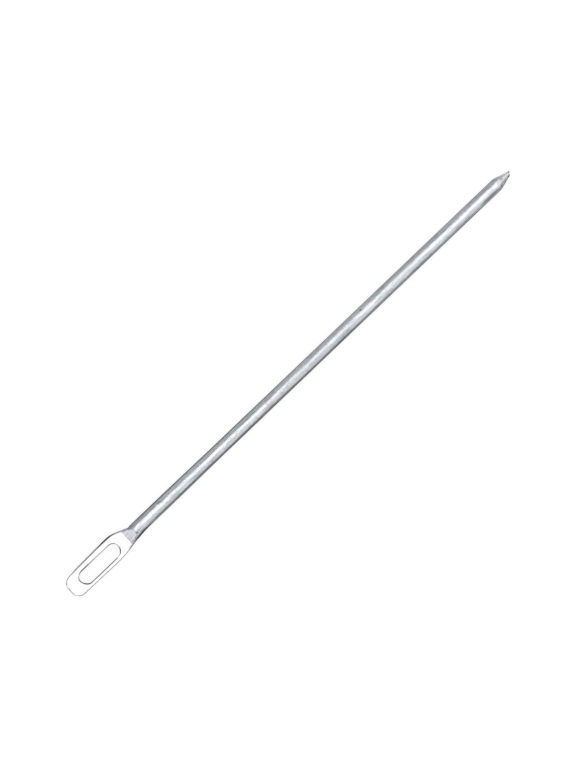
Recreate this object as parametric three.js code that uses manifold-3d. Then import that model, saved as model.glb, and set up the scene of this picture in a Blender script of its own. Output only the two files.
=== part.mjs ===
// Drawstring threader, made from a single length of round metal rod.
//
// One end is ground to a short blunt point. The other end is pressed flat between two dies into
// an eye: the metal that the dies push aside swells out at the neck, more on one side than on the
// other, and a long slot for the cord is punched through the flat.
//
// Millimetres, +Z up. The rod lies along X with its eye towards -X and its point towards +X.
// The origin is at the middle of its length and width, on the surface that it lies on.

import * as THREE from "three";
import { mergeVertices } from "three/addons/utils/BufferGeometryUtils.js";
import Module from "manifold-3d";

// Rod
const overallLength = 225;
const rodDiameter = 5;

// Slot for the cord
const slotLength = 18.6;
const slotWidth = 5.2;
const slotRimRadius = 0.4;

// Flat of the eye, as the metal that is left around the slot
const plateThickness = 2;
const endMargin = 5.6;
const neckMargin = 4.6;
const narrowBar = 1.8;
const wideBarAtShoulder = 2.7;
const wideBarAtEnd = 2.1;

// Blunt end of the flat
const endFlatHalfWidth = 1.2;
const endCrownRadius = 11;
const cornerLength = 3.6;
const cornerInset = 2.3;
const endEdgeRadius = 0.8;

// Neck, where the dies leave the rod. A shoulder runs from the crease back over the flat, and a
// neck and the growth of the flank's radius run from the crease out along the rod.
const rampLength = 4.2;
const wideShoulderRun = 6.5;
const wideNeckRun = 4.4;
const wideFlankRun = 2.8;
const narrowShoulderRun = 9;
const narrowNeckRun = 10;
const narrowFlankRun = 4.6;

// Point
const coneLength = 5.6;
const coneShoulderLength = 1.6;
const noseRadius = 0.85;
const noseRounding = 0.35;
const pipRadius = 0.33;
const pipLength = 0.55;
const pipChamfer = 0.16;
const pipOffset = 0.4;

// Number of flat facets that stand in for each round
const rodSides = 18;
const endSteps = 5;
const cornerSteps = 6;
const barSteps = 3;
const shoulderSteps = 11;
const rampSteps = 8;
const swellSteps = 5;
const coneShoulderSteps = 4;
const noseSteps = 3;
const slotArcSteps = 5;
const rimSteps = 3;

// Points of a skin that are closer together than this are one point
const mergeDistance = 1e-5;

// Worked out from the sizes above
const rodRadius = rodDiameter / 2;
const facetHeight = Math.cos(Math.PI / rodSides);
const flankSteps = rodSides / 2 - 1;
const plateHalf = plateThickness / 2;
const slotHalfWidth = slotWidth / 2;
const creaseX = endMargin + slotLength + neckMargin;
const crownX = creaseX + rampLength;
const noseX = overallLength - pipLength - noseRounding;
const wideSide = {
  shoulder: slotHalfWidth + wideBarAtShoulder,
  end: slotHalfWidth + wideBarAtEnd,
  shoulderRun: wideShoulderRun,
  neckRun: wideNeckRun,
  flankRun: wideFlankRun,
};
const narrowSide = {
  shoulder: slotHalfWidth + narrowBar,
  end: slotHalfWidth + narrowBar,
  shoulderRun: narrowShoulderRun,
  neckRun: narrowNeckRun,
  flankRun: narrowFlankRun,
};

const wasm = await Module();
wasm.setup();

// Evenly spaced values from one number up to, but not including, another
function spread(from, to, steps) {
  return Array.from({ length: steps }, (_, i) => THREE.MathUtils.lerp(from, to, i / steps));
}

// Outline of the pressed end seen from above, as the distance from the rod's axis to one side.
// Each side is two parabolic arcs that meet at the crease, where the metal spreads most steeply.
function sideHalfWidth(x, side) {
  const steepest = (2 * (side.shoulder - rodRadius)) / (side.shoulderRun + side.neckRun);
  const pastCrease = x - creaseX;
  if (pastCrease >= side.neckRun) {
    return rodRadius;
  }
  if (pastCrease >= 0) {
    return rodRadius + (steepest * (side.neckRun - pastCrease) ** 2) / (2 * side.neckRun);
  }
  const shoulderX = creaseX - side.shoulderRun;
  if (x >= shoulderX) {
    return side.shoulder - (steepest * (x - shoulderX) ** 2) / (2 * side.shoulderRun);
  }
  return THREE.MathUtils.lerp(side.end, side.shoulder, x / shoulderX);
}

// The same outline with the end's two clipped corners and its slightly crowned end
function halfWidth(x, side) {
  const beyondCorner = Math.max(0, 1 - x / cornerLength);
  const corner = sideHalfWidth(x, side) - cornerInset * beyondCorner ** 2;
  const crown = Math.sqrt(endFlatHalfWidth ** 2 + 2 * endCrownRadius * x);
  return Math.min(corner, crown);
}

// Half of the gap between the dies: an eased end, the flat, and the ramp up to the rod's crown
function halfHeight(x) {
  if (x < endEdgeRadius) {
    const back = endEdgeRadius - x;
    return plateHalf - endEdgeRadius + Math.sqrt(endEdgeRadius ** 2 - back ** 2);
  }
  const climb = THREE.MathUtils.clamp((x - creaseX) / rampLength, 0, 1);
  return THREE.MathUtils.lerp(plateHalf, rodRadius * facetHeight, climb);
}

// A round flank of the pressed end. Its radius is half the flat's thickness up to the crease and
// grows to the rod's own past it, and is never less than half the height between the dies.
function flank(x, side) {
  const grown = THREE.MathUtils.smoothstep(x, creaseX, creaseX + side.flankRun);
  const radius = THREE.MathUtils.lerp(plateHalf, rodRadius, grown);
  return { reach: halfWidth(x, side), radius: Math.max(radius, halfHeight(x) / facetHeight) };
}

// A section across the rod: a flat above, a flat below, and a round flank on each side
function section(x, height, wideFlank, narrowFlank) {
  const points = [];
  for (const [{ reach, radius }, direction] of [[wideFlank, 1], [narrowFlank, -1]]) {
    const corner = Math.acos(height / radius);
    for (let i = 0; i <= flankSteps; i += 1) {
      const turn = THREE.MathUtils.lerp(corner, Math.PI - corner, i / flankSteps);
      const y = direction * (reach - radius + radius * Math.sin(turn));
      const z = -direction * radius * Math.cos(turn);
      points.push(new THREE.Vector3(x, y, z));
    }
  }
  return points;
}

function pressedSection(x) {
  return section(x, halfHeight(x), flank(x, wideSide), flank(x, narrowSide));
}

function roundSection(x, radius, offset = 0) {
  const wideFlank = { reach: radius + offset, radius };
  const narrowFlank = { reach: radius - offset, radius };
  return section(x, radius * facetHeight, wideFlank, narrowFlank);
}

// Closed skin over a row of rings, each with the same number of points, with a lid on each end
function skin(rings) {
  const count = rings[0].length;
  const last = (rings.length - 1) * count;
  const positions = rings.flat().flatMap((point) => point.toArray());
  const faces = [];
  for (let r = 0; r < rings.length - 1; r += 1) {
    for (let i = 0; i < count; i += 1) {
      const a = r * count + i;
      const b = r * count + ((i + 1) % count);
      faces.push(a, b, b + count, a, b + count, a + count);
    }
  }
  for (let i = 1; i < count - 1; i += 1) {
    faces.push(0, i + 1, i);
    faces.push(last, last + i, last + i + 1);
  }
  const geometry = new THREE.BufferGeometry();
  geometry.setAttribute("position", new THREE.Float32BufferAttribute(positions, 3));
  geometry.setIndex(faces);
  return geometry;
}

function solidFrom(geometry) {
  const merged = mergeVertices(geometry, mergeDistance);
  const mesh = new wasm.Mesh({
    numProp: 3,
    vertProperties: Float32Array.from(merged.attributes.position.array),
    triVerts: Uint32Array.from(merged.index.array),
  });
  return new wasm.Manifold(mesh);
}

function geometryFrom(solid) {
  const mesh = solid.getMesh();
  const geometry = new THREE.BufferGeometry();
  geometry.setAttribute("position", new THREE.BufferAttribute(mesh.vertProperties, 3));
  geometry.setIndex(new THREE.BufferAttribute(mesh.triVerts, 1));
  const flat = geometry.toNonIndexed();
  flat.computeVertexNormals();
  return flat;
}

// Where the sections of the pressed end are taken. They are closer together towards the crown of
// the ramp, where the ramp's edge curves most.
function pressedSectionPlaces() {
  const shoulderX = creaseX - Math.max(wideShoulderRun, narrowShoulderRun);
  const swellEndX = creaseX + Math.max(wideNeckRun, narrowNeckRun, rampLength);
  return [
    ...spread(0, endEdgeRadius, endSteps),
    ...spread(endEdgeRadius, cornerLength, cornerSteps),
    ...spread(cornerLength, shoulderX, barSteps),
    ...spread(shoulderX, creaseX, shoulderSteps),
    ...spread(1, 0, rampSteps).map((back) => crownX - rampLength * back ** 2),
    ...spread(crownX, swellEndX, swellSteps),
    swellEndX,
  ];
}

// The ground point: a cone whose shoulder is eased into the rod, a blunt nose, and the small
// off-centre pip that is left where the rod was parted
function pointSections() {
  const coneStartX = noseX - coneLength;
  const taper = (rodRadius - noseRadius) / coneLength;
  const easedHalf = coneShoulderLength / 2;
  const rings = spread(-easedHalf, easedHalf, coneShoulderSteps).map((step) => {
    const cutBack = (taper * (step + easedHalf) ** 2) / (2 * coneShoulderLength);
    return roundSection(coneStartX + step, rodRadius - cutBack);
  });
  rings.push(roundSection(coneStartX + easedHalf, rodRadius - taper * easedHalf));
  for (const turn of spread(0, Math.PI / 2, noseSteps)) {
    const rounded = (noseRadius - pipRadius) * (1 - Math.cos(turn));
    rings.push(roundSection(noseX + noseRounding * Math.sin(turn), noseRadius - rounded));
  }
  rings.push(roundSection(noseX + noseRounding, pipRadius, pipOffset));
  rings.push(roundSection(overallLength - pipChamfer, pipRadius, pipOffset));
  rings.push(roundSection(overallLength, pipRadius - pipChamfer, pipOffset));
  return rings;
}

// Outline of the slot, straight sides and round ends, grown outwards all round
function slotOutline(grow) {
  const radius = slotHalfWidth + grow;
  const halfStraight = slotLength / 2 - slotHalfWidth;
  const middle = endMargin + slotLength / 2;
  const outline = new THREE.Path();
  outline.absarc(middle + halfStraight, 0, radius, -Math.PI / 2, Math.PI / 2);
  outline.absarc(middle - halfStraight, 0, radius, Math.PI / 2, (3 * Math.PI) / 2);
  return outline.getPoints(slotArcSteps);
}

// The punch: the slot's outline, flared at both faces so that it leaves rounded rims
function slotPunch() {
  const wallHalf = plateHalf - slotRimRadius;
  const upper = [...spread(0, Math.PI / 2, rimSteps), Math.PI / 2].map((turn) => ({
    z: wallHalf + slotRimRadius * Math.sin(turn),
    grow: slotRimRadius * (1 - Math.cos(turn)),
  }));
  upper.push({ z: plateThickness, grow: slotRimRadius });
  const lower = upper.map(({ z, grow }) => ({ z: -z, grow })).reverse();
  return skin([...lower, ...upper].map(({ z, grow }) => {
    return slotOutline(grow).map((point) => new THREE.Vector3(point.x, point.y, z));
  }));
}

const aluminium = new THREE.MeshStandardMaterial({
  color: new THREE.Color().setRGB(0.74, 0.75, 0.77, THREE.SRGBColorSpace),
  roughness: 0.34,
  metalness: 1,
});

const blank = skin([...pressedSectionPlaces().map(pressedSection), ...pointSections()]);
const punched = solidFrom(blank).subtract(solidFrom(slotPunch()));
const rod = new THREE.Mesh(geometryFrom(punched), aluminium);
rod.name = "threader_rod";

// The rod rests on the lowest facet of its round part
const restHeight = rodRadius * facetHeight;
const offAxis = (wideSide.shoulder - narrowSide.shoulder) / 2;
const threader = new THREE.Group();
threader.position.set(-overallLength / 2, -offAxis, restHeight);
threader.add(rod);

export default threader;
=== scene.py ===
import math

import bmesh
import bpy
from mathutils import Matrix, Vector


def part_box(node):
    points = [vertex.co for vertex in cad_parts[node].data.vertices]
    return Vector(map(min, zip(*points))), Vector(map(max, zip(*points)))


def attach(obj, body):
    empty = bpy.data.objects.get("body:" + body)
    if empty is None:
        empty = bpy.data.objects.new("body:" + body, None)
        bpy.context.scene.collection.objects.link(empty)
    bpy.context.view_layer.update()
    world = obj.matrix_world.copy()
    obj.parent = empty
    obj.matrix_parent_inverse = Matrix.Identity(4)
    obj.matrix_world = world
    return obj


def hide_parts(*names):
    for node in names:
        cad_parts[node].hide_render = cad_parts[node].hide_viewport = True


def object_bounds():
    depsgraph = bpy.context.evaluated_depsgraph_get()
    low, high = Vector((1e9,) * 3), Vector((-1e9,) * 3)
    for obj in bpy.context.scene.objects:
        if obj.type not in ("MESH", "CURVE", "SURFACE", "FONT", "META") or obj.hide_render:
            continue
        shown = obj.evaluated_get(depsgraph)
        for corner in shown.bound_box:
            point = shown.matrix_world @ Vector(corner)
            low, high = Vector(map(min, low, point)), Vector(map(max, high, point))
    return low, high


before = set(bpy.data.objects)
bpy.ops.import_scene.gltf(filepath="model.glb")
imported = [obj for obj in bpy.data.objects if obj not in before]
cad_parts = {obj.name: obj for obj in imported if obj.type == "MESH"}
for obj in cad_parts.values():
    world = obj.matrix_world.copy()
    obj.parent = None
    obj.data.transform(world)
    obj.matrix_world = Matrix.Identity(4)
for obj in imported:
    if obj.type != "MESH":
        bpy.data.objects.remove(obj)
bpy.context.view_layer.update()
mm = 0.001
print("frame loaded")


# Shader maths as Python: a Wire is the output of a node
class Wire:
    def __init__(self, finish, socket):
        self.finish = finish
        self.socket = socket

    def maths(self, operation, *values):
        return self.finish.node("ShaderNodeMath", {"operation": operation}, dict(enumerate(values)))

    def __add__(self, other):
        return self.maths("ADD", self, other)

    def __sub__(self, other):
        return self.maths("SUBTRACT", self, other)

    def __mul__(self, other):
        return self.maths("MULTIPLY", self, other)

    def __pow__(self, other):
        return self.maths("POWER", self, other)

    def __rsub__(self, other):
        return self.maths("SUBTRACT", other, self)

    def __abs__(self):
        return self.maths("ABSOLUTE", self)

    __radd__ = __add__
    __rmul__ = __mul__


# A material or world built node by node
class Finish:
    def __init__(self, owner):
        owner.use_nodes = True
        self.tree = owner.node_tree
        self.tree.nodes.clear()

    def node(self, kind, settings=None, sockets=None, output=0):
        made = self.tree.nodes.new(kind)
        for name, value in (settings or {}).items():
            setattr(made, name, value)
        for name, value in (sockets or {}).items():
            if isinstance(value, Wire):
                self.tree.links.new(value.socket, made.inputs[name])
            else:
                made.inputs[name].default_value = value
        return Wire(self, made.outputs[output]) if made.outputs else None

    def axis(self, place, letter):  # the X, Y or Z of a place
        return self.node("ShaderNodeSeparateXYZ", {}, {"Vector": place}, output=letter)

    def fade(self, value, start, end):  # 0 at start, 1 at end, eased between
        settings = {"interpolation_type": "SMOOTHSTEP"}
        sockets = {"Value": value, "From Min": start, "From Max": end}
        return self.node("ShaderNodeMapRange", settings, sockets)

    def grain(self, place, scale, detail=2.0):  # soft noise, 0 to 1
        stretched = self.node("ShaderNodeMapping", {}, {"Vector": place, "Scale": scale})
        sockets = {"Vector": stretched, "Scale": 1.0, "Detail": detail, "Roughness": 0.55}
        return self.node("ShaderNodeTexNoise", {}, sockets)

    def spot(self, place, mark, core=0.4):  # 1 in the core of a mark, 0 outside it
        sizes = mark["size"]
        settled = [-at / size for at, size in zip(mark["at"], sizes)]
        near = self.node("ShaderNodeMapping", {}, {
            "Vector": place, "Location": settled, "Scale": [1 / size for size in sizes]})
        measure = {"operation": "LENGTH"}
        away = self.node("ShaderNodeVectorMath", measure, {0: near}, output="Value")
        return self.fade(away, 1.0, core)

    def streak(self, place, line):  # a mark drawn out along the rod, faded at both ends
        first, last = line["span"]
        fadeIn, fadeOut = line["fades"]
        along = self.axis(place, "X")
        ends = self.fade(along, first, first + fadeIn) * self.fade(along, last, last - fadeOut)
        endless = {"at": (0, *line["at"]), "size": (math.inf, *line["size"])}
        return self.spot(place, endless) * ends

    def mixed(self, factor, first, second):  # colours, which plain maths would turn grey
        sockets = {0: factor, 6: first, 7: second}
        return self.node("ShaderNodeMix", {"data_type": "RGBA"}, sockets, output=2)


# The threader, in millimetres and degrees, with x counted from the end of the eye
threader = {
    "length": 225.0,
    "diameter": 5.0,
    "slotLength": 18.6,
    "slotWidth": 5.2,
    "slotRim": 0.5,
    # where the punch has cut wide: direction from the slot's axis, half width of it, how far
    "slotSwells": ((-90, 60, 0.17), (25, 50, 0.2), (160, 60, 0.34)),
    "flatThickness": 2.0,
    "endMargin": 5.6,
    "neckMargin": 4.6,
    "wideSide": {               # the eye's fuller side
        "bars": (2.1, 2.7),     # metal beside the slot, at the end and at the shoulder
        "shoulderRun": 6.5,     # from the crease back to the shoulder
        "neckRun": 4.4,         # from the crease on to the rod
        "growth": 2.8,          # over which the flank becomes as round as the rod
        "corner": 3.6,
        "bulge": 0.8,           # how far the edge stands out, to half the thickness
        "dips": ((3.9, 3.8, 0.27), (31.5, 1.3, 0.3)),  # place, half width, depth
    },
    "narrowSide": {
        "bars": (1.6, 1.8),
        "shoulderRun": 9.0,
        "neckRun": 10.0,
        "growth": 4.6,
        "corner": 3.0,
        "bulge": 0.33,
        "dips": (),
    },
    "endFlat": 1.2,             # half of the end's straight edge
    "endCrown": 8.0,            # radius at which the end curves away from it
    "cornerInset": 2.3,
    "endEdge": 0.45,
    "endBulge": 0.38,           # the bulge at the end of the eye
    "bulgeStart": 4.4,          # where it starts to change to the side's own
    "bulgeFull": 7.5,
    "rampLength": 4.2,
    "creaseEase": 0.16,
    "crownEase": 0.12,
    "rampEdge": 0.18,
    "filletRun": 1.5,           # past the crown, where the ramp's sharp edge turns round
    "gripEnd": 47.0,            # the dies' light grip on the rod ends here
    "gripDepth": 0.07,
    "gripRoll": 10.0,           # its turn towards the fuller side
    "rollRun": 2.5,             # past the crown, where it turns
    "gripEase": 0.6,
    "gripSpread": 0.16,         # how much wider it leaves the rod on each side
    "spreadEnd": 78.0,
    "coneLength": 5.6,
    "coneEase": 0.8,
    "noseRadius": 0.85,
    "noseRounding": 0.35,
    "pipRadius": 0.33,
    "pipLength": 0.55,
    "pipOffset": 0.4,
    "around": 96,               # points round the rod
    "slotAround": 72,
    "rings": {                  # how many each stretch of the rod and of the slot's rim has
        "endEdge": 8, "corner": 14, "bars": 14, "shoulder": 24, "crease": 4, "ramp": 18,
        "crown": 4, "neck": 12, "grip": 4, "gripEase": 4, "spread": 12, "shaft": 30,
        "coneEase": 10, "cone": 6, "nose": 8, "pip": 2, "pipEnd": 6, "slotRim": 6,
    },
}
rodRadius = threader["diameter"] / 2
flatHalf = threader["flatThickness"] / 2
slotHalf = threader["slotWidth"] / 2
slotMiddle = threader["endMargin"] + threader["slotLength"] / 2
slotStraight = threader["slotLength"] / 2 - slotHalf
creaseX = threader["endMargin"] + threader["slotLength"] + threader["neckMargin"]
crownX = creaseX + threader["rampLength"]
noseX = threader["length"] - threader["pipLength"] - threader["noseRounding"]
sides = threader["wideSide"], threader["narrowSide"]
offAxis = (sides[0]["bars"][1] - sides[1]["bars"][1]) / 2
firstTurn = math.pi / threader["around"]
flatLevel = flatHalf * math.cos(firstTurn)
slack = 0.001  # for comparing places
cadLow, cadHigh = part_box("threader_rod")
axisHeight = (cadLow.z + cadHigh.z) / 2 / mm


def spread(start, end, steps):
    return [start + (end - start) * i / steps for i in range(steps)]


def eased(value):
    value = min(1.0, max(0.0, value))
    return value * value * (3 - 2 * value)


def bend(past, ease):  # 0 before a corner, the distance past it after, rounded between
    if past <= -ease:
        return 0.0
    if past >= ease:
        return past
    return (past + ease) ** 2 / (4 * ease)


# Distance from the axis to one side of the pressed end, seen from above
def reachAt(x, side):
    end, shoulder = (slotHalf + bar for bar in side["bars"])
    shoulderRun, neckRun = side["shoulderRun"], side["neckRun"]
    steepest = 2 * (shoulder - rodRadius) / (shoulderRun + neckRun)
    shoulderX = creaseX - shoulderRun
    if x >= creaseX + neckRun:
        reach = rodRadius
    elif x >= creaseX:
        reach = rodRadius + steepest * (creaseX + neckRun - x) ** 2 / (2 * neckRun)
    elif x >= shoulderX:
        reach = shoulder - steepest * (x - shoulderX) ** 2 / (2 * shoulderRun)
    else:
        reach = end + (shoulder - end) * x / shoulderX
    clipped = reach - threader["cornerInset"] * max(0.0, 1 - x / side["corner"]) ** 2
    crown = math.sqrt(threader["endFlat"] ** 2 + 2 * threader["endCrown"] * x)
    return min(clipped, crown)


# Half of the gap between the dies: eased end, flat, ramp, and the light grip on the rod
def heightAt(x):
    edge = threader["endEdge"]
    if x < edge:
        return flatHalf - edge + math.sqrt(edge ** 2 - (edge - x) ** 2)
    gripHeight = rodRadius - threader["gripDepth"]
    steepness = (gripHeight - flatHalf) / threader["rampLength"]
    up = bend(x - creaseX, threader["creaseEase"]) - bend(x - crownX, threader["crownEase"])
    release = threader["gripDepth"] * eased((x - threader["gripEnd"]) / threader["gripEase"])
    return flatHalf + steepness * up + release


def spreadAt(x):
    gripEnd = threader["gripEnd"]
    released = eased((x - gripEnd) / (threader["spreadEnd"] - gripEnd))
    return threader["gripSpread"] * (1 - released)


# How much further out than round the fuller side and the other stand where the rod is spread
def leansAt(x):
    past = eased((x - threader["gripEnd"]) / threader["gripEase"])
    wider = spreadAt(x) / rodRadius
    return wider * (1 + past), wider * (1 - past)


def dipAt(x, side):
    return sum(depth * (1 - eased(abs(x - place) / half)) for place, half, depth in side["dips"])


# One side of a pressed section: how far out it reaches, its radius and its bulge
def flankAt(x, side, lean):
    start, full = threader["bulgeStart"], threader["bulgeFull"]
    settled = eased((x - start) / (full - start))
    bulge = threader["endBulge"] + (side["bulge"] - threader["endBulge"]) * settled
    grown = eased((x - creaseX) / side["growth"])
    radius = max(flatHalf + (rodRadius - flatHalf) * grown, heightAt(x))
    reach = reachAt(x, side) + grown * spreadAt(x) - dipAt(x, side)
    return reach, radius, bulge + (1 + lean - bulge) * grown


# One point of a section: flat above and below, a round flank, and a fillet between them.
# turn is the direction that the surface faces there, 0 up and pi down.
def flankPoint(flank, height, fillet, turn):
    reach, radius, bulge = flank
    fillet = min(fillet, height)
    edge = math.sqrt(max(0.0, (radius - fillet) ** 2 - (height - fillet) ** 2))
    swing = math.atan2(edge, height - fillet)
    if swing <= turn <= math.pi - swing:
        return reach - bulge * radius * (1 - math.sin(turn)), radius * math.cos(turn)
    level = math.copysign(height - fillet, math.cos(turn))
    inward = bulge * (radius - edge - fillet * math.sin(turn))
    return reach - inward, level + fillet * math.cos(turn)


def pressedSection(x):
    past, rampEdge = x - crownX, threader["rampEdge"]
    fillet = rampEdge + (rodRadius / 2 - rampEdge) * eased(past / threader["filletRun"])
    roll = math.radians(threader["gripRoll"]) * eased(past / threader["rollRun"])
    flanks = [flankAt(x, side, lean) for side, lean in zip(sides, leansAt(x))]
    return {"x": x, "height": heightAt(x), "fillet": fillet, "flanks": flanks, "roll": roll}


def roundSection(x, radius, offset=0.0):
    flanks = [(radius + shift + spreadAt(x), radius, 1 + lean)
              for shift, lean in zip((offset, -offset), leansAt(x))]
    return {"x": x, "height": radius, "fillet": radius / 2, "flanks": flanks, "roll": 0.0}


def places(start, *stops):  # x from start through the stops, each with its stretch's rings
    made = []
    for stop, stretch in stops:
        made += spread(start, stop, threader["rings"][stretch])
        start = stop
    return made


def quarterTurns(stretch):
    return spread(0, math.pi / 2, threader["rings"][stretch])


def sections():
    size = threader
    edge, crease, crown = size["endEdge"], size["creaseEase"], size["crownEase"]
    shoulderX = creaseX - max(side["shoulderRun"] for side in sides)
    swellEnd = creaseX + max(side["neckRun"] for side in sides)
    cornerEnd = max(side["corner"] for side in sides)
    gripEnd, released = size["gripEnd"], size["gripEnd"] + size["gripEase"]
    rampEnd = crownX - crown
    ramp = rampEnd - creaseX - crease
    along = [edge * (1 - math.cos(turn)) for turn in quarterTurns("endEdge")]
    along += places(edge, (cornerEnd, "corner"), (shoulderX, "bars"),
                    (creaseX - crease, "shoulder"), (creaseX + crease, "crease"))
    along += [rampEnd - ramp * back ** 2 for back in spread(1, 0, size["rings"]["ramp"])]
    along += places(rampEnd, (crownX + crown, "crown"), (swellEnd, "neck"),
                    (gripEnd, "grip"), (released, "gripEase"))
    rings = [pressedSection(x) for x in along]

    ease, coneX = size["coneEase"], noseX - size["coneLength"]
    taper = (rodRadius - size["noseRadius"]) / size["coneLength"]
    for x in places(released, (size["spreadEnd"], "spread"), (coneX - ease, "shaft"),
                    (coneX + ease, "coneEase"), (noseX, "cone")):
        rings.append(roundSection(x, rodRadius - taper * bend(x - coneX, ease)))
    # the nose rounds over into the pip, whose own end is rounded too
    rounding, pipRadius, offset = size["noseRounding"], size["pipRadius"], size["pipOffset"]
    for turn in quarterTurns("nose"):
        over = 1 - math.cos(turn)
        radius = size["noseRadius"] - (size["noseRadius"] - pipRadius) * over
        rings.append(roundSection(noseX + rounding * math.sin(turn), radius, offset * over))
    pipEnd = size["length"] - pipRadius
    for x in places(noseX + rounding, (pipEnd, "pip")):
        rings.append(roundSection(x, pipRadius, offset))
    for turn in quarterTurns("pipEnd"):
        x = pipEnd + pipRadius * math.sin(turn)
        rings.append(roundSection(x, pipRadius * math.cos(turn), offset))
    return rings


def placeRing(bm, ring, order, section):
    half = threader["around"] // 2
    height, fillet = section["height"], section["fillet"]
    for vert in ring:
        side, step = divmod(vert[order], half)
        turn = firstTurn + (math.pi - 2 * firstTurn) * step / (half - 1)
        if side:
            turn = math.pi - turn
        across, up = flankPoint(section["flanks"][side], height, fillet, turn)
        vert.co = (section["x"], -across if side else across, up)
    rolled = Matrix.Rotation(-section["roll"], 3, "X")
    bmesh.ops.rotate(bm, verts=list(ring), matrix=rolled)


def extruded(bm, edges):
    made = bmesh.ops.extrude_edge_only(bm, edges=edges)["geom"]
    ring = {part for part in made if isinstance(part, bmesh.types.BMVert)}
    rim = [part for part in made
           if isinstance(part, bmesh.types.BMEdge) and ring.issuperset(part.verts)]
    return ring, rim


def edgesOf(ring):
    return list(dict.fromkeys(edge for vert in ring for edge in vert.link_edges))


def makeRod(bm):
    order = bm.verts.layers.int.new("order")
    first, *others = sections()
    circle = {"cap_ends": True, "segments": threader["around"], "radius": 1}
    ring = bmesh.ops.create_circle(bm, **circle)["verts"]
    for i, vert in enumerate(ring):
        vert[order] = i
    rim = edgesOf(ring)
    placeRing(bm, ring, order, first)
    for section in others:
        ring, rim = extruded(bm, rim)
        placeRing(bm, ring, order, section)
    bmesh.ops.edgeloop_fill(bm, edges=rim)
    return order


def slotSwell(out):
    turn = math.degrees(math.atan2(out.y, out.x))
    swell = 0.0
    for middle, half, height in threader["slotSwells"]:
        away = abs((turn - middle + 180) % 360 - 180) / half
        swell += height * (1 - eased(away))
    return swell


# The slot's wall and its rounded rims, open at both flats
def makeSlot(bm):
    rimSize = threader["slotRim"]
    wallHalf = flatLevel - rimSize
    rounds = [(wallHalf + rimSize * math.sin(turn), rimSize * (1 - math.cos(turn)))
              for turn in quarterTurns("slotRim") + [math.pi / 2]]
    levels = [(-z, grow) for z, grow in reversed(rounds)] + rounds
    steps = threader["slotAround"]
    turned = Matrix.Rotation(math.pi / steps, 4, "Z")
    ring = bmesh.ops.create_circle(bm, segments=steps, radius=slotHalf, matrix=turned)["verts"]
    for vert in ring:
        vert.co.x += slotMiddle + math.copysign(slotStraight, vert.co.x)
    rim = edgesOf(ring)
    loops = []
    for level, (z, grow) in enumerate(levels):
        if level:
            ring, rim = extruded(bm, rim)
        for vert in ring:
            centre = slotMiddle + math.copysign(slotStraight, vert.co.x - slotMiddle)
            out = Vector((vert.co.x - centre, vert.co.y)).normalized()
            reach = slotHalf + grow + slotSwell(out)
            vert.co = (centre + out.x * reach, out.y * reach, z)
        loops.append(rim)
    return loops[0], loops[-1]


# The two flats are opened and filled again round the slot
def punchFlats(bm, order, slotLoops):
    last, half = threader["around"] - 1, threader["around"] // 2
    start, end = threader["endEdge"] - slack, creaseX - threader["creaseEase"] + slack
    flats = [{0, last}, {half - 1, half}]
    opened = [face for face in bm.faces if {vert[order] for vert in face.verts} in flats
              and len(face.verts) == 4 and all(start < vert.co.x < end for vert in face.verts)
              and all(abs(vert.co.z) > flatLevel - slack for vert in face.verts)]
    bmesh.ops.delete(bm, geom=opened, context="FACES")
    for loop, up in zip(slotLoops, (-1, 1)):
        border = [edge for edge in bm.edges if edge.is_boundary and edge not in loop
                  and all(vert.co.z * up > flatLevel / 2 for vert in edge.verts)]
        border += loop
        filled = bmesh.ops.triangle_fill(
            bm, use_beauty=True, edges=border, normal=(0, 0, up))["geom"]
        for part in filled:
            if isinstance(part, bmesh.types.BMFace):
                part.smooth = False


def makeThreader():
    bm = bmesh.new()
    order = makeRod(bm)
    slotLoops = makeSlot(bm)
    for face in bm.faces:
        face.smooth = True
    punchFlats(bm, order, slotLoops)
    bmesh.ops.recalc_face_normals(bm, faces=bm.faces)
    bmesh.ops.translate(bm, verts=bm.verts, vec=(-threader["length"] / 2, -offAxis, axisHeight))
    bmesh.ops.scale(bm, verts=bm.verts, vec=(mm, mm, mm))
    print("open edges", sum(not edge.is_manifold for edge in bm.edges), "of", len(bm.edges))
    mesh = bpy.data.meshes.new("drawstringThreader")
    bm.to_mesh(mesh)
    bm.free()
    piece = bpy.data.objects.new("drawstringThreader", mesh)
    bpy.context.scene.collection.objects.link(piece)
    return piece


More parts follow.
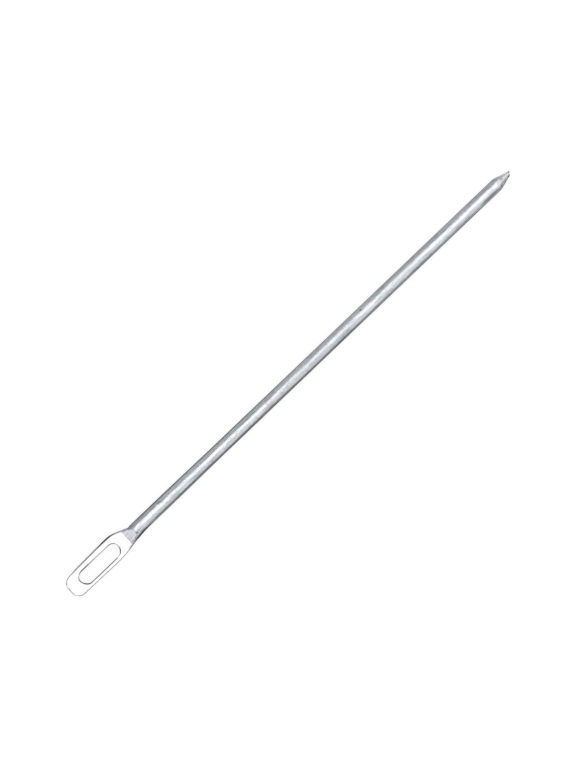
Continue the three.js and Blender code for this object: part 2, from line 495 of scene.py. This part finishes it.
# Satin metal. Lengths are in millimetres on the object, from here on with x from its middle.
crownAt, creaseAt = (x - threader["length"] / 2 for x in (crownX, creaseX))
satin = {
    "tones": {
        "light": (0.45, 0.473, 0.498, 1),
        "dark": (0.31, 0.326, 0.342, 1),
        "struck": (0.418, 0.414, 0.414, 1),    # where the dies have pressed it
        "ground": (0.47, 0.475, 0.485, 1),     # where the point was ground
        "lilac": (0.455, 0.44, 0.51, 1),
        "green": (0.39, 0.45, 0.435, 1),
        # pale tone of the painted highlights on the point, along the rod and in the slot's rim
        "paintedHighlight": (0.85, 0.85, 0.855, 1),
        # dark tone: dirt in the round specks, and painted shade in most marks, the streaks and the
        # slot rim
        "grimeAndShade": (0.075, 0.08, 0.085, 1),
        "edge": (0.1, 0.1, 0.11, 1),           # of what it mirrors at a glance
    },
    "roughness": 0.2,
    "bumpStrength": 0.35,
    "bumpDepth": 0.03,
    "linesPressed": 0.8,         # share of the drawing lines that the dies took off
    "wearStart": 0.75,           # sum of the wearing patterns that is still light
    # soft noise: its scale along, across and up, and its detail
    "grains": {
        "drawn": {"scale": (0.03, 3.5, 3.5), "detail": 3.0},
        "blotches": {"scale": (0.30, 1.1, 1.1)},
        "clouds": {"scale": (0.07, 0.4, 0.4)},
        "hues": {"scale": (0.20, 0.8, 0.8), "detail": 1.0},
        "waves": {"scale": (0.10, 0.3, 0.3), "detail": 1.0},
        "mottle": {"scale": (0.8, 1.2, 1.2)},
        "grit": {"scale": (1.6, 2.4, 2.4)},
    },
    # what is picked out of the noise, and the values where it starts and is full
    "picks": {
        "patches": ("blotches", 0.35, 0.7),
        "shadows": ("clouds", 0.4, 0.62),
        "specks": ("grit", 0.66, 0.74),
        "lilacHue": ("hues", 0.54, 0.68),
        "greenHue": ("hues", 0.42, 0.3),
    },
    # stretches of the rod: x where each starts and where it is full
    "stretches": {
        "pressed": (crownAt, crownAt - 0.3),
        "flat": (creaseAt, creaseAt - 0.2),
        "rising": (creaseAt, crownAt - 1),
        "ground": (106.0, 107.5),
    },
    # how much each pattern wears the metal dark, roughens it and raises it
    "effects": {
        "wear": {"patches": 0.5, "shadows": 0.6, "mottle": 1.5},
        "roughness": {"drawn": 0.10, "blotches": 0.08, "dents": 0.15, "flat": -0.06},
        "relief": {"lines": 0.5, "blotches": 0.6, "waves": 5.0, "specks": -0.6, "dents": -0.8},
    },
    # tones laid over the worn metal in this order: where, tone, strength
    "coats": (
        ("lilacHue", "lilac", 0.65),
        ("greenHue", "green", 0.65),
        ("ramp", "lilac", 0.5),
        ("flat", "struck", 0.86),
        ("ground", "ground", 0.8),
        ("roundSpecks", "grimeAndShade", 0.4),
    ),
}

# Marks, each a soft ellipsoid: place, half sizes, strength. One without a tone darkens and dents
# the metal, mostly as painted shade, elsewhere as a darker spot. Pale ones are painted highlights,
# and the lilac one is a tint.
marks = {
    "pit": {"at": (37.1, 0.75, 4.6), "size": (0.8, 0.55, 0.6), "strength": 0.7},
    # painted shade along the crown, where the ramp meets the rod
    "crown": {"at": (-79.5, -1.65, 4.5), "size": (0.7, 0.5, 0.9), "strength": 0.8},
    "crownLeft": {"at": (-80.2, 1.7, 3.9), "size": (1.8, 0.7, 1.1), "strength": 0.45},
    "crownTop": {"at": (-79.3, 0.55, 4.8), "size": (1.5, 0.9, 0.6), "strength": 0.28},
    # painted shade along the eye's outline
    "shoulder": {"at": (-89.5, 4.65, 3.0), "size": (6.8, 1.0, 0.9), "strength": 1.0},
    "wideEdge": {"at": (-98.0, 4.5, 2.6), "size": (9.0, 0.6, 1.4), "strength": 0.25},
    "endCorner": {"at": (-111.9, 2.6, 2.9), "size": (1.7, 1.4, 0.9), "strength": 0.55},
    # painted shade on the neck's flank
    "neckEdge": {"at": (-83.8, -3.95, 2.95), "size": (3.8, 0.9, 0.95), "strength": 0.85},
    "neck": {"at": (-77.8, -3.0, 3.25), "size": (7.8, 1.1, 1.5), "strength": 0.92},
    "crownTint": {"at": (-78.4, 0.3, 4.9), "size": (2.6, 1.3, 0.8), "strength": 0.45,
                  "tone": "lilac"},
    # painted shade beside the crown, and on the neck's flank
    "crownSide": {"at": (-78.6, -1.2, 4.7), "size": (2.4, 0.7, 0.8), "strength": 0.22},
    "neckShade": {"at": (-77.4, -2.1, 4.0), "size": (2.0, 0.8, 0.9), "strength": 0.35},
    "gripStep": {"at": (-65.9, 0.75, 4.65), "size": (1.3, 0.75, 0.7), "strength": 0.5},
    # painted shade along the rod's middle, on its narrower side
    "middle": {"at": (20.0, -1.3, 4.8), "size": (18.0, 1.1, 1.0), "strength": 0.13},
    # painted shade along the point's narrower side
    "tipSide": {"at": (101.3, -2.1, 4.3), "size": (6.8, 0.75, 0.8), "strength": 0.45},
    "tipShade": {"at": (100.6, -1.75, 4.5), "size": (6.0, 0.75, 0.8), "strength": 0.35},
    # painted highlights on the point
    "tipLight": {"at": (99.0, -0.4, 4.9), "size": (5.0, 1.1, 0.9), "strength": 0.13,
                 "tone": "paintedHighlight"},
    "coneStart": {"at": (105.8, -0.5, 4.8), "size": (3.0, 1.2, 0.8), "strength": 0.2,
                  "tone": "paintedHighlight"},
    "coneSide": {"at": (106.7, -2.0, 4.3), "size": (0.7, 0.5, 0.8), "strength": 0.7},
    "coneTop": {"at": (108.2, -0.05, 4.3), "size": (0.9, 0.7, 0.9), "strength": 0.4},
    # painted shade along the cone's edge
    "coneEdge": {"at": (108.9, -2.0, 3.1), "size": (2.2, 0.5, 1.0), "strength": 0.6},
    # painted highlight on the cone
    "coneLight": {"at": (109.9, 1.2, 3.0), "size": (2.4, 1.1, 1.4), "strength": 0.6,
                  "tone": "paintedHighlight"},
    # painted shade on the nose
    "nose": {"at": (111.1, -1.2, 2.9), "size": (1.0, 0.45, 0.8), "strength": 0.85},
    # painted highlight on the nose
    "noseLight": {"at": (111.1, 0.45, 2.9), "size": (1.1, 0.8, 0.9), "strength": 0.6,
                  "tone": "paintedHighlight"},
    "pip": {"at": (112.4, 0.0, 2.5), "size": (0.8, 0.8, 0.8), "strength": 0.9},
}

# Streaks along the rod, painted shade where no tone is given, a painted highlight in the pale one:
# first and last x, how long they fade in and out, place and half size across
streaks = {
    # painted shade along the rod's narrower edge
    "narrowLine": {"span": (-76.0, 55.0), "fades": (10.0, 40.0), "at": (-2.5, 3.82),
                   "size": (0.46, 0.72), "strength": 0.68},
    "pointLine": {"span": (18.0, 114.0), "fades": (22.0, 35.0), "at": (-2.5, 3.82),
                  "size": (0.46, 0.72), "strength": 0.33},
    # painted shade at the highlight's border
    "shade": {"span": (-56.0, 6.0), "fades": (14.0, 12.0), "at": (0.5, 4.8),
              "size": (0.5, 0.8), "strength": 0.1},
    # painted highlight along the rod's top
    "sheen": {"span": (20.0, 82.0), "fades": (15.0, 20.0), "at": (0.5, 4.8),
              "size": (0.5, 0.8), "strength": 0.1, "tone": "paintedHighlight"},
    # painted shade along the rod's fuller edge
    "wideLine": {"span": (-80.0, 40.0), "fades": (4.0, 85.0), "at": (1.9, 3.4),
                 "size": (0.52, 0.85), "strength": 0.62},
}

# Where handling has dulled the rod: the half towards the point, and most of all its middle
dulled = {
    "from": -35.0,
    "full": 5.0,
    "roughness": 0.03,
    "middle": {"at": (7.0, -0.45, 4.0), "size": (44.0, 4.0, 4.0), "strength": 0.035},
}

# Painted shade on the rounded rim of the slot, darker at some spots, with painted highlights
# at the pale ones
rimShading = {
    "all": 0.2,
    "depths": (0.002, 0.013),    # below the flat, where it starts and is full
    "reaches": (1.25, 1.05),     # beyond the slot's wall, where it has ended and is still full
    "spots": {
        "wideCorner": {"at": (-102.8, 2.5, 2.5), "size": (3.0, 1.4, 3.0), "strength": 1.0},
        "endCorner": {"at": (-105.4, -2.4, 2.5), "size": (3.0, 2.2, 3.0), "strength": 0.95},
        "narrowSide": {"at": (-97.5, -3.2, 2.5), "size": (9.5, 1.4, 3.0), "strength": 0.5},
        "neckCorner": {"at": (-88.5, -1.85, 2.5), "size": (1.6, 1.35, 3.0), "strength": 1.0},
        "neckArc": {"at": (-88.9, 0.8, 2.5), "size": (2.2, 2.4, 3.0), "strength": 1.0,
                    "tone": "paintedHighlight"},
        "neckGap": {"at": (-90.3, -3.1, 2.5), "size": (1.4, 1.5, 3.0), "strength": 1.0,
                    "tone": "paintedHighlight"},
        "wideSide": {"at": (-94.5, 2.4, 2.5), "size": (5.5, 1.0, 3.0), "strength": 0.3,
                     "tone": "paintedHighlight"},
        "endArc": {"at": (-106.3, 1.2, 2.5), "size": (1.5, 1.5, 3.0), "strength": 0.7,
                   "tone": "paintedHighlight"},
    },
}


# 1 on the rounded rims of the slot and its wall, 0 on the flats
def slotRim(finish, place):
    along = finish.axis(place, "X")
    aside = finish.axis(place, "Y") + offAxis
    past = abs(along - (slotMiddle - threader["length"] / 2)) - slotStraight
    past = past.maths("MAXIMUM", past, 0.0)
    away = (past * past + aside * aside) ** 0.5
    height = abs(finish.axis(place, "Z") - axisHeight)
    lower = finish.fade(height, *(flatLevel - depth for depth in rimShading["depths"]))
    return lower * finish.fade(away, *(slotHalf + reach for reach in rimShading["reaches"]))


# The patterns by name, apart from the dents
def satinPatterns(finish, place):
    along = finish.axis(place, "X")
    made = {name: finish.grain(place, **look) for name, look in satin["grains"].items()}
    made.update({name: finish.fade(made[source], start, full)
                 for name, (source, start, full) in satin["picks"].items()})
    made.update({name: finish.fade(along, start, full)
                 for name, (start, full) in satin["stretches"].items()})
    made["ramp"] = made["rising"] * made["pressed"]
    made["lines"] = made["drawn"] * (1 - satin["linesPressed"] * made["pressed"])
    made["roundSpecks"] = made["specks"] * (1 - made["flat"])
    return made


def satinMetal():
    material = bpy.data.materials.new("satinMetal")
    finish = Finish(material)
    metres = finish.node("ShaderNodeTexCoord", output="Object")
    scale = (1 / mm, 1 / mm, 1 / mm)
    place = finish.node("ShaderNodeMapping", {}, {"Vector": metres, "Scale": scale})
    patterns = satinPatterns(finish, place)
    tones = satin["tones"]

    def total(effect):
        shares = satin["effects"][effect]
        return sum(patterns[name] * share for name, share in shares.items())

    # lays a mark's tone over the colour: the dark tone where the mark names none
    def markTone(colour, mask, mark):
        return finish.mixed(mask, colour, tones[mark.get("tone", "grimeAndShade")])

    wear = total("wear") - satin["wearStart"]
    colour = finish.mixed(wear, tones["light"], tones["dark"])
    for where, tone, strength in satin["coats"]:
        colour = finish.mixed(patterns[where] * strength, colour, tones[tone])
    patterns["dents"] = 0.0
    # marks: painted shade, darker spots and painted highlights; the untoned ones also dent and
    # roughen
    for mark in marks.values():
        spot = finish.spot(place, mark) * mark["strength"]
        colour = markTone(colour, spot, mark)
        if "tone" not in mark:
            patterns["dents"] = patterns["dents"] + spot
    # streaks: painted shade along the rod's edges and the highlight's border, and a painted
    # highlight
    for line in streaks.values():
        colour = markTone(colour, finish.streak(place, line) * line["strength"], line)
    # painted shade on the slot's rounded rim, and painted highlights at its pale spots
    rim = slotRim(finish, place)
    colour = finish.mixed(rim * rimShading["all"], colour, tones["grimeAndShade"])
    for mark in rimShading["spots"].values():
        colour = markTone(colour, rim * finish.spot(place, mark) * mark["strength"], mark)

    along, middle = finish.axis(place, "X"), dulled["middle"]
    dull = finish.fade(along, dulled["from"], dulled["full"]) * dulled["roughness"]
    dull = dull + finish.spot(place, middle) * middle["strength"]
    bump = finish.node("ShaderNodeBump", {}, {
        "Height": total("relief"), "Strength": satin["bumpStrength"],
        "Distance": satin["bumpDepth"] * mm})
    shader = finish.node("ShaderNodeBsdfPrincipled", {}, {
        "Base Color": colour, "Metallic": 1.0,
        "Roughness": satin["roughness"] + dull + total("roughness"),
        "Specular Tint": tones["edge"], "Normal": bump})
    finish.node("ShaderNodeOutputMaterial", {}, {"Surface": shader})
    return material


rod = makeThreader()
rod.data.materials.append(satinMetal())
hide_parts("threader_rod")
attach(rod, "root")
print("threader made")


# Pale floor that keeps the object's shadow. whiteShare is how much of it looks plain white to
# the camera, and mirrored in the metal.
floorLook = {"size": 8.0, "colour": (0.86, 0.86, 0.86, 1), "whiteShare": 0.84}


def makeFloor():
    bm = bmesh.new()
    bmesh.ops.create_grid(bm, x_segments=1, y_segments=1, size=floorLook["size"] / 2)
    bmesh.ops.translate(bm, verts=bm.verts, vec=(0, 0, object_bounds()[0].z))
    mesh = bpy.data.meshes.new("floor")
    bm.to_mesh(mesh)
    bm.free()
    floor = bpy.data.objects.new("floor", mesh)
    bpy.context.scene.collection.objects.link(floor)
    material = bpy.data.materials.new("paleFloor")
    finish = Finish(material)
    rays = ("Is Camera Ray", "Is Glossy Ray", "Is Transmission Ray")
    seen = sum(finish.node("ShaderNodeLightPath", output=ray) for ray in rays)
    share = seen * floorLook["whiteShare"]
    matt = finish.node("ShaderNodeBsdfDiffuse", {}, {"Color": floorLook["colour"]})
    white = finish.node("ShaderNodeEmission", {}, {"Color": (1, 1, 1, 1), "Strength": 1.0})
    mix = finish.node("ShaderNodeMixShader", {}, {0: share, 1: matt, 2: white})
    finish.node("ShaderNodeOutputMaterial", {}, {"Surface": mix})
    floor.data.materials.append(material)


# Studio, in metres and degrees. A softbox's bearing counts from the point of the rod towards
# the eye's fuller side, and its height is above the table. All face the object.
studio = {
    "world": 0.18,
    "softboxes": {
        "overhead": {"bearing": 90, "height": 80, "away": 1.34, "size": (1.1, 1.29),
                     "brightness": 2.45},
        "right": {"bearing": -78, "height": 43, "away": 1.2, "size": (1.2, 1.4),
                  "brightness": 1.49},
        "left": {"bearing": 90, "height": 25, "away": 1.2, "size": (0.9, 0.87),
                 "brightness": 0.8},
        "ahead": {"bearing": 15, "height": 40, "away": 1.2, "size": (2.1, 1.1),
                  "brightness": 1.35},
        "behind": {"bearing": 180, "height": 42, "away": 1.2, "size": (0.8, 0.75),
                   "brightness": 1.75},
    },
}


def makeSoftbox(name, lamp):
    light = bpy.data.lights.new(name, "AREA")
    light.shape = "RECTANGLE"
    light.size, light.size_y = lamp["size"]
    light.energy = lamp["brightness"] * math.pi * light.size * light.size_y
    made = bpy.data.objects.new(name, light)
    bearing, height = math.radians(lamp["bearing"]), math.radians(lamp["height"])
    level = math.cos(height)
    towards = Vector((level * math.cos(bearing), level * math.sin(bearing), math.sin(height)))
    made.location = towards * lamp["away"]
    made.rotation_euler = (-towards).to_track_quat("-Z", "Y").to_euler()
    made.visible_camera = False
    bpy.context.scene.collection.objects.link(made)


def makeStudio():
    world = bpy.data.worlds.new("studio")
    bpy.context.scene.world = world
    finish = Finish(world)
    grey = (*[studio["world"]] * 3, 1)
    background = finish.node("ShaderNodeBackground", {}, {"Color": grey, "Strength": 1.0})
    finish.node("ShaderNodeOutputWorld", {}, {"Surface": background})
    for name, lamp in studio["softboxes"].items():
        makeSoftbox(name, lamp)


# Camera straight above, rolled so that the rod climbs to the right as in the photograph
shot = {
    "distance": 1.2,
    "sensor": 24.0,
    "frameHeight": 0.28457,              # what the picture's longer side takes in
    "aim": (-0.001182, -0.000422),
    "climb": (0.72322, 0.69061),         # the rod's direction in the picture, right and up
}


def makeCamera():
    camera = bpy.data.cameras.new("camera")
    camera.sensor_width = shot["sensor"]
    camera.lens = shot["sensor"] * shot["distance"] / shot["frameHeight"]
    made = bpy.data.objects.new("camera", camera)
    along, rise = shot["climb"]
    turned = Matrix(((along, rise, 0), (-rise, along, 0), (0, 0, 1))).to_4x4()
    place = Matrix.Translation((*shot["aim"], shot["distance"] + axisHeight * mm))
    made.matrix_world = place @ turned
    bpy.context.scene.collection.objects.link(made)
    bpy.context.scene.camera = made


makeFloor()
makeStudio()
makeCamera()
bpy.context.scene.view_settings.view_transform = "Standard"
print("studio made")
